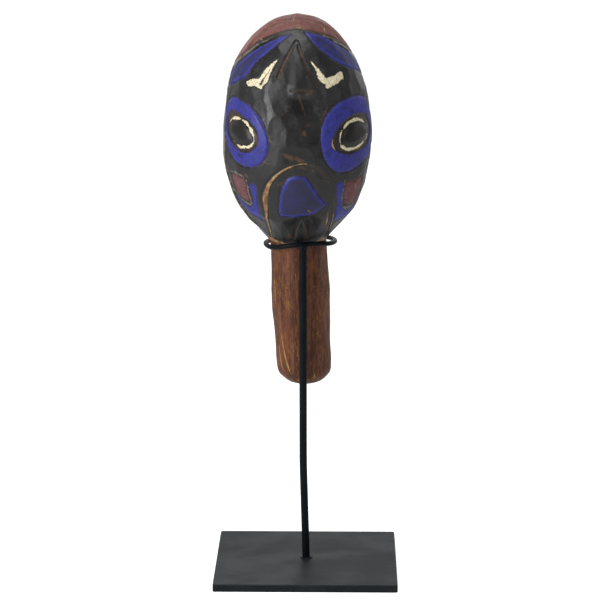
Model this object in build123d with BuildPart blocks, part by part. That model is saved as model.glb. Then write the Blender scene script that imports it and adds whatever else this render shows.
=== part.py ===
"""Carved and painted wooden hand rattle, hung by its neck in a steel display stand.

Millimetres. +Z is up and the face looks along -Y. The origin is the middle of the
base plate's underside, right below the foot of the stand's rod.
"""
from build123d import *
import os

# ---------------------------------------------------------------- driving dimensions

# Stand
plate_width = 114.3
plate_depth = 101.6
plate_thickness = 4.8
plate_corner_radius = 1.5
plate_edge_chamfer = 0.4
rod_diameter = 4.76
rod_socket_depth = 3.2
rod_kink_height = 68.0
rod_kink_offset = -1.9  # how far the rod leans to -X before its kink
rod_bend_radius = 400.0
rod_top_height = 207.6
wire_diameter = 3.0
ring_radius = 21.7  # to the middle of the wire
ring_centre = (-3.9, 22.0, 205.9)
ring_fall_back = 0.10  # the ring drops this much for each mm towards the back
ring_rise_right = 0.012
foot_weld_radius = 3.9
foot_weld_height = 1.5
ring_weld_radius = 3.0
ring_weld_centre = (rod_kink_offset, -0.4, 206.7)

# Rattle head: two hollow shells that meet on an upright seam
neck_height = 207.5  # where the head ends and the handle begins
head_axis_x = -5.75
head_axis_y = 22.0
seam_forward = 10.0  # the seam stands this far in front of the head's axis
seam_turn = 5.0  # degrees that the seam is turned about the head's axis, towards +X
head_outline = [
    (18.0, 0),
    (24.6, 8),
    (34.8, 20),
    (42.0, 37),
    (45.7, 64),
    (42.8, 90),
    (36.0, 112),
    (24.6, 129),
    (13.8, 137),
    (0, 140.4),
]  # radius and height above the neck
hollow_outline = [
    (14.0, 22),
    (27.0, 30),
    (34.5, 45),
    (37.7, 66),
    (35.0, 90),
    (27.5, 111),
    (14.5, 127),
    (0, 132.5),
]

# Handle
handle_offset = 0.45  # its top stands this far to +X of the head's axis
handle_lean = 0.043  # it leans to +X on its way down, in mm for each mm
handle_outline = [
    (17.2, -4),
    (17.3, 8),
    (17.9, 25),
    (17.7, 56),
    (16.7, 80),
    (15.1, 87.6),
    (9.6, 92),
    (0, 94.4),
]  # radius and distance down the handle from the neck
tenon_radius = 11.0
tenon_length = 22.0

# Pegs
seam_peg_diameter = 3.0
seam_peg_length = 10.0
seam_peg_pairs = [(45.0, 37.6), (98.0, 34.4)]  # height above the neck, distance from the axis
neck_peg_diameter = 4.0
neck_peg_height = 9.0  # above the neck
neck_peg_depth = 8.0  # how far it enters the tenon
neck_peg_blank = 40.0  # its length before it is cut flush with the back of the neck

# Loose pebbles
pebble_circle_radius = 9.6
pebble_radii = (4.1, 3.9, 4.3, 3.7, 4.2, 3.8, 4.0)
pebble_squash = (1.0, 0.9, 0.8)
floor_gap = 0.3

# ---------------------------------------------------------------- planes and shared shapes

rod_radius = rod_diameter / 2
wire_radius = wire_diameter / 2
head_foot = Vector(head_axis_x, head_axis_y, neck_height)
head_plane = Plane(origin=head_foot)
neck_plane = Plane.XY.offset(neck_height)
seam_direction = Vector(0, -1, 0).rotate(Axis.Z, seam_turn)
seam_plane = Plane(
    origin=head_foot + seam_direction * seam_forward,
    x_dir=Vector(1, 0, 0).rotate(Axis.Z, seam_turn),
    z_dir=seam_direction,
)
handle_top = head_foot + Vector(handle_offset, 0, 0)
handle_plane = Plane(origin=handle_top, x_dir=(1, 0, 0), z_dir=(handle_lean, 0, -1))
ring_plane = Plane(
    origin=ring_centre,
    x_dir=(1, 0, ring_rise_right),
    z_dir=(-ring_rise_right, ring_fall_back, 1),
)


def turned_solid(outline):
    """Turn a half outline of (radius, height) points about Z."""
    with BuildPart() as turned:
        with BuildSketch(Plane.XZ):
            with BuildLine():
                Spline(*outline, tangents=[tangent_at_start(outline), (-1, 0)])
                Polyline(outline[-1], (0, outline[0][1]), outline[0])
            make_face()
        revolve(axis=Axis.Z)
    return turned.part


def tangent_at_start(outline):
    """The direction of an outline's first run."""
    return (outline[1][0] - outline[0][0], outline[1][1] - outline[0][1])


head_outside = head_plane.location * turned_solid(head_outline)
head_inside = head_plane.location * turned_solid(hollow_outline)

# ---------------------------------------------------------------- stand

with BuildPart(ring_plane) as holder_ring:
    Torus(major_radius=ring_radius, minor_radius=wire_radius)
holder_ring.part.label = "holder_ring"

with BuildPart() as stand_rod:
    with BuildLine() as rod_line:
        FilletPolyline(
            (0, 0, plate_thickness - rod_socket_depth),
            (rod_kink_offset, 0, rod_kink_height),
            (rod_kink_offset, 0, rod_top_height),
            radius=rod_bend_radius,
        )
    with BuildSketch(Plane(origin=rod_line.line @ 0, z_dir=rod_line.line % 0)):
        Circle(rod_radius)
    sweep(path=rod_line.line)
    # The rod's top is hollowed to a saddle that the ring's wire lies in.
    add(holder_ring.part, mode=Mode.SUBTRACT)
stand_rod.part.label = "stand_rod"

with BuildPart() as base_plate:
    with BuildSketch():
        RectangleRounded(plate_width, plate_depth, plate_corner_radius)
    extrude(amount=plate_thickness)
    chamfer(base_plate.faces().sort_by(Axis.Z)[-1].edges(), plate_edge_chamfer)
    add(stand_rod.part, mode=Mode.SUBTRACT)
base_plate.part.label = "base_plate"

with BuildPart() as foot_weld:
    with BuildSketch(Plane.XZ):
        with BuildLine():
            Polyline(
                (0, plate_thickness + foot_weld_height),
                (0, plate_thickness),
                (foot_weld_radius, plate_thickness),
            )
            RadiusArc(
                (foot_weld_radius, plate_thickness),
                (0, plate_thickness + foot_weld_height),
                -6.0,
            )
        make_face()
    revolve(axis=Axis.Z)
    add(stand_rod.part, mode=Mode.SUBTRACT)
foot_weld.part.label = "foot_weld"

with BuildPart() as ring_weld:
    with Locations(ring_weld_centre):
        Sphere(ring_weld_radius)
    add(stand_rod.part, mode=Mode.SUBTRACT)
    add(holder_ring.part, mode=Mode.SUBTRACT)
ring_weld.part.label = "ring_weld"

# ---------------------------------------------------------------- handle and pegs

handle_stick = handle_plane.location * turned_solid(handle_outline)

with BuildPart() as neck_peg:
    with BuildSketch(Plane.XZ.offset(-(head_axis_y + tenon_radius - neck_peg_depth))):
        with Locations((head_axis_x, neck_height + neck_peg_height)):
            Circle(neck_peg_diameter / 2)
    extrude(amount=-neck_peg_blank)
    add(head_outside, mode=Mode.INTERSECT)
neck_peg.part.label = "neck_peg"

with BuildPart() as handle:
    add(handle_stick)
    split(bisect_by=neck_plane, keep=Keep.BOTTOM)
    with BuildSketch(head_plane):
        Circle(tenon_radius)
    extrude(amount=tenon_length)
    add(neck_peg.part, mode=Mode.SUBTRACT)
handle.part.label = "handle"

with BuildPart() as seam_pegs:
    for height, distance in seam_peg_pairs:
        with BuildSketch(seam_plane):
            with Locations((-distance, height), (distance, height)):
                Circle(seam_peg_diameter / 2)
        extrude(amount=seam_peg_length / 2, both=True)
seam_pegs.part.label = "seam_pegs"

# ---------------------------------------------------------------- head shells


def head_shell(side):
    """One half of the hollow head, bored for the tenon, the seam pegs and the neck peg."""
    with BuildPart() as shell:
        add(head_outside)
        add(head_inside, mode=Mode.SUBTRACT)
        split(bisect_by=seam_plane, keep=side)
        add(handle.part, mode=Mode.SUBTRACT)
        add(seam_pegs.part, mode=Mode.SUBTRACT)
        add(neck_peg.part, mode=Mode.SUBTRACT)
    return shell.part


with BuildPart() as head_front:
    add(head_shell(Keep.TOP))
head_front.part.label = "head_front"

with BuildPart() as head_back:
    add(head_shell(Keep.BOTTOM))
head_back.part.label = "head_back"

# ---------------------------------------------------------------- loose pebbles

hollow_floor = head_foot + Vector(0, 0, hollow_outline[0][1] + floor_gap)
circle_start = Vector(pebble_circle_radius, 0, 0)
pebble_places = [Vector(0, 0, 0)] + [circle_start.rotate(Axis.Z, 60 * turn) for turn in range(6)]
pebbles = []
for number, (radius, place) in enumerate(zip(pebble_radii, pebble_places), start=1):
    half_height = Vector(0, 0, radius * pebble_squash[2])
    squashed_ball = scale(Solid.make_sphere(radius), by=pebble_squash)
    with BuildPart(Plane(origin=hollow_floor + place + half_height)) as pebble:
        add(squashed_ball)
    pebble.part.label = f"pebble_{number}"
    pebbles.append(pebble)

# ---------------------------------------------------------------- files

assembly = [
    base_plate,
    stand_rod,
    holder_ring,
    ring_weld,
    foot_weld,
    handle,
    head_front,
    head_back,
    neck_peg,
    seam_pegs,
]
os.makedirs("parts", exist_ok=True)
for piece in assembly + pebbles:
    export_step(piece.part, f"parts/{piece.part.label}.step")
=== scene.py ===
"""Looks of a carved and painted wooden hand rattle that hangs in a steel display stand.

The file is laid out as a Blender add-on and is run as a script. It works in metres, in the
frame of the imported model. What is carved or painted on the head is given in millimetres, and
a place on it as degrees round from the front, positive towards +X, and a height above the neck.
"""
import math
import bmesh
import bpy
import numpy as np
from mathutils import Matrix, Vector


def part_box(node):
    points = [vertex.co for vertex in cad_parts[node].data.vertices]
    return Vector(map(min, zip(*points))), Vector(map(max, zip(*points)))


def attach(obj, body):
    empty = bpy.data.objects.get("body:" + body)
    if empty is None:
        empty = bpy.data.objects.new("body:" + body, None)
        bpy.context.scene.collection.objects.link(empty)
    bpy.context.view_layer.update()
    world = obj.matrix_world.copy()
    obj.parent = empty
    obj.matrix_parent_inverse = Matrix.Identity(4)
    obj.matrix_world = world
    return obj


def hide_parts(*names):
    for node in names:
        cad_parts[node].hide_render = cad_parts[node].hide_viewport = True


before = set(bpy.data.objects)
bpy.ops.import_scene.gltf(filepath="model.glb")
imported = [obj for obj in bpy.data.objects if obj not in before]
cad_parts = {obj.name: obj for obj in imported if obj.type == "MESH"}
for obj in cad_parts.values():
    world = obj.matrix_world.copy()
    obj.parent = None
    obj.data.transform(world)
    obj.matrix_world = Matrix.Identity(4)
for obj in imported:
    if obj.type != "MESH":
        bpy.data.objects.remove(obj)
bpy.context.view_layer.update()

bl_info = {
    "name": "Painted Hand Rattle",
    "version": (1, 0, 0),
    "blender": (4, 5, 0),
    "location": "View3D > Sidebar > Rattle",
    "description": "Builds a carved and painted wooden rattle in its steel display stand",
    "category": "Object",
}

# ---------------------------------------------------------------- places from the frame

MM = 0.001
FAR = 9.0  # a distance in mm that counts as outside a painted shape
UP = Vector((0, 0, 1))

head_low, head_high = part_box("head_back")
HEAD_RADIUS = (head_high.x - head_low.x) / 2
NECK = Vector(((head_low.x + head_high.x) / 2, head_high.y - HEAD_RADIUS, head_low.z))
ring_low, ring_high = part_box("holder_ring")
RING_CENTRE = (ring_low + ring_high) / 2
rod_low, rod_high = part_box("stand_rod")
plate_low, plate_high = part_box("base_plate")
PEBBLES = sorted(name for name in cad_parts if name.startswith("pebble_"))

# ---------------------------------------------------------------- the head's design

# Radius and height above the neck. The first three points close the egg below the neck.
HEAD_OUTLINE = [
    (0, -15), (9, -12.5), (15, -7), (18, 0), (24.6, 8), (34.8, 20), (42, 37), (45.7, 64),
    (42.8, 90), (36, 112), (24.6, 129), (13.8, 137), (0, 140.4),
]
# How far the head's middle wanders to +X, by height.
HEAD_DRIFT = [
    (0, 0.0), (10, 0.5), (30, 0.0), (50, -0.35), (68, 0.15), (88, 0.1), (105, -0.5), (125, -0.5),
    (140, 0.4),
]
# How much fuller the carved head is than the outline, by height.
HEAD_GROWTH = [
    (0, 0.0), (10, 0.1), (25, 0.0), (38, 0.35), (68, 0.3), (82, 0.3), (96, 1.1), (111, 1.2),
    (125, 0.5), (140, 0.3),
]
# Bore for the handle's tenon, then the hollow above it.
BORE_OUTLINE = [(11, 0), (11, 22), (14, 22)]
HOLLOW_OUTLINE = [
    (14, 22), (27, 30), (34.5, 45), (37.7, 66), (35, 90), (27.5, 111), (14.5, 127), (0, 132.5),
]
SEAM_FORWARD = 10.0
SEAM_TURN = 5.0

# Painted areas as outlines of (degrees, height). A point given twice is a corner.
CAP_EDGE = [
    (-180, 101), (-135, 103), (-90, 109), (-70, 117.5), (-52, 125.5), (-29, 130.8), (-5, 133),
    (17, 132.6), (40, 130.3), (64, 126), (93, 116), (135, 105), (180, 101),
]
CRESCENT_LEFT = [
    (-7, 130.5), (-7, 130.5), (-28, 127.5), (-50, 120.5), (-68, 111.5), (-90, 101), (-100, 97),
    (-100, 97), (-89, 97), (-62, 101), (-49, 106), (-42, 112), (-34, 118), (-22, 124.5),
]
CRESCENT_RIGHT = [
    (13, 131.5), (13, 131.5), (39, 129), (59, 123), (75, 117), (90, 109), (101, 101), (101, 101),
    (84, 105), (63, 109), (47, 112.5), (34, 118.5), (23, 125),
]
# Painted sheen: a greyed streak along the middle of the left crescent, as (degrees, height, half width).
SHEEN_STREAK = [
    (-38, 122, 0.2), (-52, 115.5, 1.0), (-66, 107.5, 1.5), (-80, 101, 1.3), (-92, 98, 0.5),
]
EYE_LEFT = [
    (-63, 92), (-49, 91), (-36, 86.5), (-27, 79), (-22, 71), (-21, 63), (-25, 56), (-34, 52),
    (-46, 51.5), (-58, 55.5), (-67, 61), (-74, 69), (-78, 80), (-74, 88),
]
SOCKET_LEFT = [
    (-63, 84), (-51, 83), (-39, 79.5), (-31, 73.5), (-30, 67), (-35, 62), (-44, 60), (-57, 64),
    (-67, 71), (-69, 79),
]
EYELINE_LEFT = [
    (-63, 77.5, 0.4), (-58, 79.6, 0.75), (-50, 80, 0.55), (-41, 77.5, 0.65), (-35, 72, 0.75),
    (-34, 68, 0.1), (-36, 65.2, 0.6), (-43, 63.5, 0.8), (-50, 63.6, 0.55), (-54, 65, -0.25),
    (-65, 72.5, -0.3),
]
EYE_RIGHT = [
    (36, 90.5), (51, 93), (67, 92.5), (81, 88), (91, 78), (90, 66), (79, 57), (65, 52.5), (51, 49),
    (39, 48), (29, 51), (22, 58), (19, 67), (20, 77), (26, 85.5),
]
SOCKET_RIGHT = [
    (58, 82.5), (42, 80.5), (33, 75), (29, 68.5), (31.5, 63), (41, 59.5), (54, 60), (70, 63.5),
    (77, 72), (71, 80),
]
EYELINE_RIGHT = [
    (64, 77, 0.2), (58, 79, 0.85), (49, 79, 0.8), (40, 76, 0.6), (35.5, 71, 0.45), (35.5, 66, 0.6),
    (40, 62.8, 0.8), (48, 62, 0.85), (57, 63.3, 0.75), (68, 67, 0.3), (73, 72, -0.2),
]
MARK_LEFT = [
    (-17, 116.5), (-17, 116.5), (-22, 115), (-33.5, 104.8), (-33.5, 104.8), (-44, 103.6),
    (-47, 102), (-45, 100.4), (-36, 99.6), (-30, 98.8), (-30, 98.8), (-26, 101.5), (-20.5, 110.5),
]
SLIT_LEFT = [(-23, 111.2, -0.1), (-27, 106, 0.2), (-30.3, 102.3, 0.85), (-31, 101.5, 0.6)]
MARK_RIGHT = [
    (14.5, 116.5), (14.5, 116.5), (21.5, 112), (27.5, 106), (27.5, 106), (40, 107.3), (43.5, 108.8),
    (43.5, 108.8), (48, 108), (48, 108), (47.5, 104.3), (47.5, 104.3), (38, 101.5), (28, 98.9),
    (28, 98.9), (22, 104), (18, 110),
]
TONGUE = [
    (-17, 21), (-15, 31), (-11, 40.5), (-6, 45.8), (1, 47.6), (8.5, 46.8), (14, 41), (21, 33.5),
    (29.5, 27.5), (29.5, 27.5), (19, 22.5), (6, 20.5), (-7, 20),
]
CHEEK_LEFT = [
    (-63, 44.5), (-55, 44.5), (-46, 42), (-46, 36), (-48, 28.5), (-48, 28.5), (-55, 29), (-62, 34),
]
STRAP_LEFT = [
    (-41, 40.5), (-35.5, 40.5), (-37, 29), (-43.5, 15), (-43.5, 15), (-54, 18.5), (-66, 25),
    (-70, 32), (-70, 32), (-60, 27.5), (-47, 25.5), (-42, 30),
]
CHEEK_RIGHT = [
    (45, 41.5), (55, 41.5), (66, 43.5), (71, 35), (66, 27), (66, 27), (57, 26), (50, 27.5),
]
STRAP_RIGHT = [
    (36, 41.5), (41, 41.5), (45.5, 30), (51, 23.5), (62, 22.5), (74, 29), (74, 29), (69, 19),
    (56, 15.5), (45, 16), (40, 27),
]

# Carved lines as (degrees, height, half width).
MOUTH_ARCH = [
    (-55, 1, 0.1), (-41, 11, 0.45), (-31, 22, 0.8), (-27.5, 33, 1.5), (-20.5, 43, 0.9),
    (-11, 50, 0.55), (-1, 54, 0.4), (7, 55, 0.25), (15, 53, 0.05), (24, 47, -0.25), (32, 38, -0.3),
    (36, 29, -0.1), (41, 18, 0.2), (57, 4, -0.1),
]
# The points that close the mouth's arch below the chin.
MOUTH_FLOOR = [(45, -4), (0, -6), (-45, -4)]
# The nose at its base and at its top: height, then its middle and half width in degrees.
NOSE_HEIGHTS = (97, 126)
NOSE_MIDDLES = (8.5, 2)
NOSE_HALF_WIDTHS = (12.5, 4)
NOSE_LINES = [
    [(1, 126.5, 0.3), (-6, 120, 0.5), (-12, 112, 0.4), (-15, 106, 0.1)],
    [(3, 126, 0.3), (6, 120, 0.4), (10, 113, 0.4), (14, 106, 0.3), (18, 100.5, 0.1)],
    [(-3, 98.6, 0.1), (5, 98.2, 0.35), (13, 98.8, 0.1)],
]
CHIN_LINES = [
    [(-5, 4, 0.3), (0, 13, 0.4), (5, 18.5, 0.5)],
    [(17, 4, 0.3), (11, 12, 0.4), (6, 18.5, 0.5)],
]
# Thin grey-olive lines that frame the cheeks and follow the cap.
TRIM_LINES = [
    [
        (-63, 46.5, 0.2), (-53, 46, 0.4), (-45, 43.5, 0.4), (-44.5, 36, 0.35), (-46.5, 27, 0.35),
        (-54, 27.3, 0.3), (-64, 32.5, 0.2),
    ],
    [
        (44, 42.5, 0.3), (43.5, 34, 0.35), (48.5, 25.4, 0.35), (58, 24.2, 0.35), (68, 26, 0.3),
        (73, 34, 0.1),
    ],
    [(57, 39, 0.1), (60, 34, 0.35), (58, 30, 0.15)],
    [(-94, 105.5, 0.8), (-70, 114.5, 0.8), (-52, 122.7, 0.5), (-32, 129, 0.1)],
    [(42, 129, 0.1), (66, 122.5, 0.5), (94, 112.5, 0.8)],
]
# Chips and rubbed places that show bare wood, as (degrees, height, half width).
CHIPS = [
    [(-50, 140.0, 0.2), (-20, 138.6, 0.3), (-11, 136.2, 0.2)],
    [(-14, 139.3, 0.1), (-8, 137.3, 0.25)],
    [(-54, 127.2, 0.6), (-49, 126.4, 0.25)],
    [(-3, 133.8, 0.3), (2, 133.9, 0.45), (12, 133.4, 0.25)],
    [(59, 133.2, 0.35), (51, 131.8, 0.45)],
    [(28.7, 69, 0.25), (28.5, 66, 0.6), (31, 62.5, 0.2)],
    [(-1, 24.4, 0.2), (1, 24.3, 0.2)],
    [(11, 24.6, 0.4), (14, 23.2, 0.25)],
    [(33, 22, 0.35), (38, 13, 0.4)],
]
RUBBED = [
    [(-4, 121, 0.0), (-9, 115.5, 0.5), (-13, 110, 0.2)],
    [(-17, 112, 0.0), (-15, 108, 0.5), (-14, 105, 0.1)],
    [(6, 119, -0.1), (9.5, 114, 0.1)],
    [(-31.5, 71.5, 0.9), (-30.5, 67, 0.8)],
    [(-21, 69.5, 0.5), (-19, 68.3, 0.7)],
    [(6, 74, 0.8), (7, 72, 0.5)],
    [(8.5, 96.2, 0.7), (11, 96.6, 0.9), (16, 98, 0.3)],
    [(24, 87, 0.5), (20, 79, 0.1)],
    [(-9, 61, 0.2), (-5, 59.4, 0.9), (1, 57.8, 1.2), (7, 57, 0.5)],
    [(-44, 46, 0.6), (-42, 45, 0.5)],
    [(-4, 52, 0.2), (6, 52.3, 0.3), (14, 50.5, 0.1)],
]

# ---------------------------------------------------------------- settings


def colour(name, description, default):
    """A colour setting."""
    return bpy.props.FloatVectorProperty(
        name=name, description=description, default=default, subtype="COLOR", min=0, max=1
    )


def length(name, description, default):
    """A length setting, in metres."""
    return bpy.props.FloatProperty(
        name=name, description=description, default=default, unit="LENGTH", min=0
    )


class RattleSizes(bpy.types.PropertyGroup):
    """How deep the carving goes and how even the stand's wire is."""

    facet_depth: length("Knife Facets", "How deep the knife's flat cuts go", 0.55 * MM)
    line_depth: length("Carved Lines", "How deep the carved lines are", 0.5 * MM)
    relief: length("Relief", "How far the nose and the mouth stand out", 1.2 * MM)
    ring_wobble: length("Ring Wobble", "How far the ring's wire wanders up and down", 1.0 * MM)
    weld_lumps: length("Weld Lumps", "How uneven the welds are", 0.35 * MM)


class RattleColours(bpy.types.PropertyGroup):
    """The paints, woods and metal."""

    black: colour("Black Paint", "The head's ground coat", (0.0095, 0.0095, 0.0105))
    blue: colour("Blue Paint", "The eyes, crescents, tongue and straps", (0.020, 0.021, 0.19))
    red: colour("Red Paint", "The cheeks", (0.095, 0.018, 0.018))
    cap: colour("Cap Stain", "The top of the head", (0.125, 0.034, 0.027))
    cream: colour("Cream Paint", "The eye lines and the brow marks", (0.78, 0.70, 0.48))
    bare: colour("Bare Wood", "Wood where the paint is cut or chipped", (0.50, 0.31, 0.13))
    stained: colour("Stained Wood", "The handle", (0.155, 0.047, 0.016))
    steel: colour("Blackened Steel", "The stand", (0.0030, 0.0045, 0.0065))


# ---------------------------------------------------------------- lines and distances


def smooth_line(points, closed=False, samples=9):
    """Points along a smooth curve through the given ones. A point given twice is a corner."""
    points = [np.array(point, float) for point in points]
    count = len(points)
    line = []
    for index in range(count if closed else count - 1):
        here, there = points[index], points[(index + 1) % count]
        run = np.linalg.norm(there - here)
        if run == 0:
            continue
        before = points[index - 1] if closed or index else here
        after = points[(index + 2) % count] if closed or index + 2 < count else there
        leave = tangent(before, here, there) * run
        arrive = tangent(here, there, after) * run
        for share in np.arange(samples) / samples:
            square, cube = share**2, share**3
            line.append(
                (2 * cube - 3 * square + 1) * here
                + (cube - 2 * square + share) * leave
                + (3 * square - 2 * cube) * there
                + (cube - square) * arrive
            )
    line.append(points[0] if closed else points[-1])
    return np.array(line)


def tangent(before, here, after):
    """The direction of a smooth curve at the middle one of three points."""
    first, second = np.linalg.norm(here - before), np.linalg.norm(after - here)
    if first == 0:
        return (after - here) / second
    if second == 0:
        return (here - before) / first
    return ((here - before) / first * second + (after - here) / second * first) / (first + second)


def ramp(values, start, end):
    """A smooth step from 0 at start to 1 at end."""
    share = np.clip((values - start) / (end - start), 0, 1)
    return share * share * (3 - 2 * share)


def ridge(distances, width):
    """1 on a line, falling smoothly to nothing over about one width."""
    return np.exp(-((distances / width) ** 2))


def lumps(places, size, seed):
    """Smooth random values from -1 to 1 that change over about one size."""
    cells = 16
    table = np.random.default_rng(seed).uniform(-1, 1, (cells, cells, cells))
    grid = places / size
    low = np.floor(grid).astype(int)
    share = grid - low
    share = share * share * (3 - 2 * share)
    total = np.zeros(len(places))
    for corner in np.ndindex(2, 2, 2):
        weight = np.prod(np.where(corner, share, 1 - share), axis=1)
        total += weight * table[tuple(((low + corner) % cells).T)]
    return total


def turned(radii, degrees, heights):
    """Places at those radii, degrees round from the front, and heights."""
    angles = np.radians(degrees)
    return np.stack([radii * np.sin(angles), -radii * np.cos(angles), heights], axis=1)


def line_distance(places, nodes, widths):
    """Distance from a line outside its half width, less than zero on the line itself."""
    best = np.full(len(places), FAR)
    for start, end, wide_start, wide_end in zip(nodes, nodes[1:], widths, widths[1:]):
        along = end - start
        share = np.clip((places - start) @ along / max(along @ along, 1e-9), 0, 1)
        away = np.linalg.norm(places - start - share[:, None] * along, axis=1)
        best = np.minimum(best, away - wide_start - share * (wide_end - wide_start))
    return best


# ---------------------------------------------------------------- knife cuts

CUT_RADIUS = 160.0  # how nearly flat a cut is, in mm
RIDGE_SOFTNESS = 0.05  # how far two cuts blend where they meet, in mm
RIDGE_WIDTH = 0.12  # how close in height two cuts are on a ridge, in mm


def facet_cuts(places, seeds, normals, depths):
    """How far nearly flat cuts go into the skin, and how near each place is to a ridge.

    A cut is centred on a seed, square to its normal and curved away by the cut's radius.
    """
    heights = places @ normals.T - (seeds * normals).sum(1) + depths
    away = (places**2).sum(1)[:, None] - 2 * places @ seeds.T + (seeds**2).sum(1)
    heights = np.maximum(heights - away / (2 * CUT_RADIUS), -FAR)
    ordered = np.partition(heights, -2, axis=1)
    top, second = ordered[:, -1], ordered[:, -2]
    blend = np.exp((heights - top[:, None]) / RIDGE_SOFTNESS).sum(1)
    cut = top + RIDGE_SOFTNESS * np.log(blend)
    return np.maximum(cut, 0), ridge(top - second, RIDGE_WIDTH) * (top > 0)


def staggered(random, row, turn, count):
    """Degrees round for one cut of a row, half a cut on from the last row and a little off."""
    return (turn + 0.5 * (row % 2) + random.uniform(-0.3, 0.3)) * 360 / count


def unit(vectors):
    """Vectors with a length of 1."""
    return vectors / np.linalg.norm(vectors, axis=1)[:, None]


# ---------------------------------------------------------------- the head's skin


class HeadSkin:
    """The vertices of the smooth egg, in mm from the middle of the neck."""

    profile = smooth_line(HEAD_OUTLINE, samples=24)

    def __init__(self, directions):
        steps = np.linalg.norm(np.diff(self.profile, axis=0), axis=1)
        travelled = np.concatenate([[0], np.cumsum(steps)])
        latitudes = np.arcsin(np.clip(directions[:, 2], -1, 1))
        along = (latitudes / math.pi + 0.5) * travelled[-1]
        self.degrees = np.degrees(np.arctan2(directions[:, 0], -directions[:, 1]))
        radii = np.interp(along, travelled, self.profile[:, 0])
        self.heights = np.interp(along, travelled, self.profile[:, 1])
        self.places = turned(radii, self.degrees, self.heights)
        slopes = np.gradient(self.profile, travelled, axis=0)
        outward = np.interp(along, travelled, slopes[:, 1])
        upward = -np.interp(along, travelled, slopes[:, 0])
        self.normals = unit(turned(outward, self.degrees, upward))

    @classmethod
    def facing(cls, points):
        """The way the egg faces at points that start with degrees and a height."""
        points = np.asarray(points, float)
        slopes = np.gradient(cls.profile[:, 0], cls.profile[:, 1])
        slope = np.interp(points[:, 1], cls.profile[:, 1], slopes)
        return unit(turned(np.ones(len(points)), points[:, 0], -slope))

    @classmethod
    def on_skin(cls, points):
        """The places on the egg of points that start with degrees and a height."""
        points = np.asarray(points, float)
        radii = np.interp(points[:, 1], cls.profile[:, 1], cls.profile[:, 0])
        return turned(radii, points[:, 0], points[:, 1])

    def near(self, line, reach):
        """Which vertices are within a few mm of a line, by its box in degrees and height."""
        spread = np.degrees(reach / np.interp(line[:, 1], self.profile[:, 1], self.profile[:, 0]))
        wide = min(spread.max(), 90)
        return (
            (self.degrees > line[:, 0].min() - wide)
            & (self.degrees < line[:, 0].max() + wide)
            & (self.heights > line[:, 1].min() - reach)
            & (self.heights < line[:, 1].max() + reach)
        )

    def stroke(self, points, closed=False):
        """Distance from a line outside its half width, less than zero on the line itself."""
        line = smooth_line(points, closed)
        chosen = self.near(line, FAR)
        widths = line[:, 2] if line.shape[1] > 2 else np.zeros(len(line))
        distances = np.full(len(self.places), FAR)
        distances[chosen] = line_distance(self.places[chosen], self.on_skin(line), widths)
        return distances

    def strokes(self, lines):
        """Distance from the nearest of several lines."""
        return np.min([self.stroke(line) for line in lines], axis=0)

    def area(self, outline):
        """Distance from an outline's edge, less than zero inside it."""
        outline = [point[:2] for point in outline]
        distances = self.stroke(outline, closed=True)
        line = smooth_line(outline, closed=True)
        chosen = self.near(line, FAR)
        degrees, heights = self.degrees[chosen], self.heights[chosen]
        inside = np.zeros(len(degrees), bool)
        for (x_one, y_one), (x_two, y_two) in zip(line, line[1:]):
            if y_one == y_two:
                continue
            crosses = (y_one > heights) != (y_two > heights)
            at = x_one + (heights - y_one) * (x_two - x_one) / (y_two - y_one)
            inside ^= crosses & (degrees < at)
        signs = np.ones(len(self.places))
        signs[chosen] = np.where(inside, -1, 1)
        return distances * signs

    def areas(self, outlines):
        """Distance from the edge of the nearest of several areas."""
        return np.min([self.area(outline) for outline in outlines], axis=0)


HEAD_CUT_ROWS = 15
HEAD_CUT_HEIGHT = 9.4
HEAD_CUT_WIDTH = 10.5
BATCHES = 24  # the head's vertices are worked through in this many parts, to spare memory


def head_facets(skin, depth):
    """Knife cuts all over the head, in staggered rows."""
    random = np.random.default_rng(11)
    seeds = []
    for row in range(HEAD_CUT_ROWS):
        height = 4 + row * HEAD_CUT_HEIGHT + random.uniform(-1.5, 1.5)
        radius = np.interp(height, skin.profile[:, 1], skin.profile[:, 0])
        count = max(int(math.tau * radius / HEAD_CUT_WIDTH), 3)
        for turn in range(count):
            degrees = staggered(random, row, turn, count) - 180
            seeds.append((degrees, height + random.uniform(-3, 3)))
    seeds = np.array(seeds)
    seeds[:, 1] = np.clip(seeds[:, 1], 1, 138)
    places = skin.on_skin(seeds)
    normals = unit(skin.facing(seeds) + random.normal(0, 0.03, places.shape))
    depths = depth * random.uniform(0.35, 1.15, len(seeds))
    cut, near_ridge = np.zeros(len(skin.places)), np.zeros(len(skin.places))
    for part in np.array_split(np.arange(len(skin.places)), BATCHES):
        cut[part], near_ridge[part] = facet_cuts(skin.places[part], places, normals, depths)
    return np.minimum(cut, 2 * depth) - 0.35 * depth, near_ridge


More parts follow.
